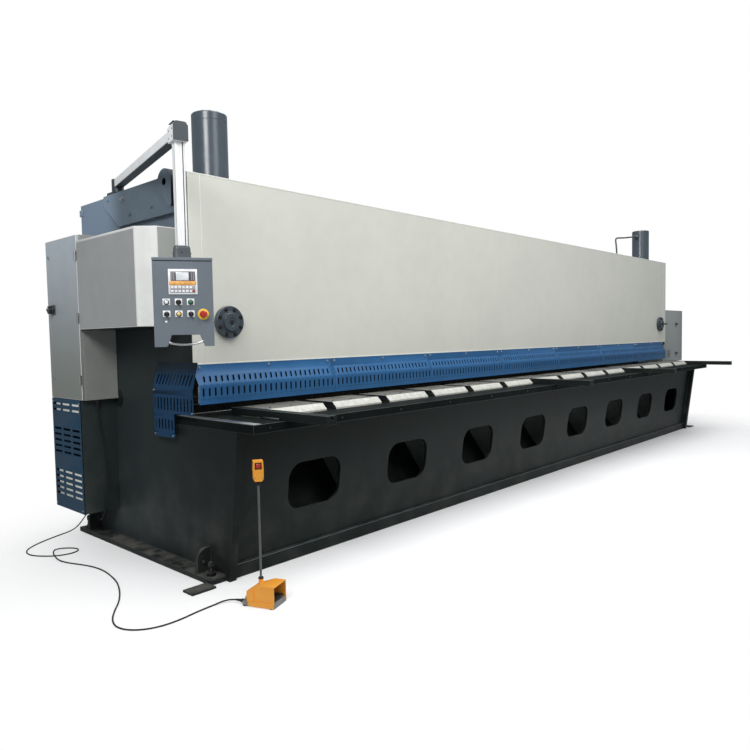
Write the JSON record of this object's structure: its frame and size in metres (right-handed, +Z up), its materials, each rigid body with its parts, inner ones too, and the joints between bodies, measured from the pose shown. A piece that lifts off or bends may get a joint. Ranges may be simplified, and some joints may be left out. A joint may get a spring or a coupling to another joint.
{
  "type": "hydraulic swing beam shear",
  "caption": "Long hydraulic plate shear with a swinging knife beam, guarded throat, windowed apron, side cabinets, swivelling control pendant and a foot switch on a floor cord.",
  "frame": {"origin": "on the floor, under the middle of the outer box", "axes": "+X along the machine towards its right end, +Y from the operator to the rear, +Z up"},
  "size_m": [10.0754, 2.5927, 3.07],
  "materials": {
    "black_paint": "dark green-grey machine enamel, semi-matt",
    "white_paint": "off-white textured enamel",
    "beige_paint": "beige powder coat",
    "blue_paint": "medium blue powder coat",
    "slate_paint": "dark blue-grey enamel",
    "grey_paint": "mid-grey powder coat",
    "light_grey_paint": "light grey powder coat",
    "orange_paint": "orange enamel",
    "bright_steel": "ground tool steel",
    "chrome": "chromed rod",
    "alloy": "anodised extrusion",
    "black_plastic": "black moulded plastic",
    "red_plastic": "red button cap",
    "screen_face": "printed keypad film",
    "cable_rubber": "black cable sheath"
  },
  "bodies": {
    "frame": {"apron": "black_paint", "arm_bracket": "slate_paint", "arm_post": "grey_paint", "beam_cylinders": "slate_paint", "bed_back": "black_paint", "bed_ribs": "black_paint", "blade_guard": "blue_paint", "cabinet": "beige_paint", "cord_glands": "black_plastic", "cylinder_seats": "slate_paint", "door_hinges": "bright_steel", "feet": "black_paint", "flange_covers": "slate_paint", "floor_cord": "cable_rubber", "front_panel": "white_paint", "front_rail": "black_paint", "hold_down_beam": "slate_paint", "jack_bolts": "bright_steel", "lower_blade": "bright_steel", "lower_unit": "blue_paint", "oil_pipe": "slate_paint", "oil_tank": "slate_paint", "panel_stiffeners": "slate_paint", "pedal_base": "grey_paint", "pedal_hood": "orange_paint", "presser_barrels": "slate_paint", "rear_beams": "black_paint", "right_cabinet": "light_grey_paint", "scrap_chutes": "black_paint", "side_cover": "beige_paint", "side_wall_left": "black_paint", "side_wall_right": "black_paint", "sole_bars": "bright_steel", "stop_box": "orange_paint", "stop_button": "red_plastic", "stop_pole": "alloy", "support_arms": "black_paint", "table_blocks": "white_paint", "table_plate": "black_paint", "throat_guard": "blue_paint"},
    "swing_beam": {"swing_beam": "slate_paint", "swing_ribs": "slate_paint", "pivot_tube": "slate_paint", "upper_blade": "bright_steel", "back_gauge": "slate_paint"},
    "rams": {"rams": "chrome"},
    "pressers": {"presser_feet": "chrome"},
    "pendant_arm": {"pendant_arm": "alloy", "drop_tube": "alloy"},
    "pendant": {"pendant_collar": "grey_paint", "pendant_box": "grey_paint", "pendant_handle": "chrome", "pendant_screen": "screen_face", "pendant_controls": "black_plastic", "pendant_stop": "red_plastic"},
    "cabinet_door": {"cabinet_door": "beige_paint"},
    "main_switch": {"main_switch": "black_plastic"},
    "treadle": {"treadle": "black_plastic"}
  },
  "joints": [
    {"name": "beam_swing", "type": "hinge", "parent": "frame", "child": "swing_beam", "pos_m": [-0.19876, 0.7335, 1.08], "axis": [1, 0, 0], "range_deg": [0, 7.5]},
    {"name": "ram_stroke", "type": "slide", "parent": "frame", "child": "rams", "axis": [0, 0, -1], "range_m": [0, 0.0943]},
    {"name": "presser_stroke", "type": "slide", "parent": "frame", "child": "pressers", "axis": [0, 0, -1], "range_m": [0, 0.065]},
    {"name": "arm_turn", "type": "hinge", "parent": "frame", "child": "pendant_arm", "pos_m": [-4.38876, 0.6835, 2.655], "axis": [0, 0, 1], "range_deg": [-70, 20]},
    {"name": "pendant_turn", "type": "hinge", "parent": "pendant_arm", "child": "pendant", "pos_m": [-4.71646, -0.69201, 2.3], "axis": [0, 0, 1], "range_deg": [-90, 90]},
    {"name": "door_hinge", "type": "hinge", "parent": "frame", "child": "cabinet_door", "pos_m": [-4.69806, 0.7438, 1.675], "axis": [0, 0, 1], "range_deg": [0, 110]},
    {"name": "switch_turn", "type": "hinge", "parent": "cabinet_door", "child": "main_switch", "pos_m": [-4.68876, 1.1785, 1.75], "axis": [-1, 0, 0], "range_deg": [0, 90]},
    {"name": "treadle_press", "type": "hinge", "parent": "frame", "child": "treadle", "pos_m": [-4.48095, -1.04404, 0.046], "axis": [0.9272, 0.3746, 0], "range_deg": [0, 6.5], "stiffness_Nm_per_rad": 20}
  ],
  "couplings": [
    {"joint": "ram_stroke", "follows": "beam_swing", "m_per_rad": 0.72}
  ]
}
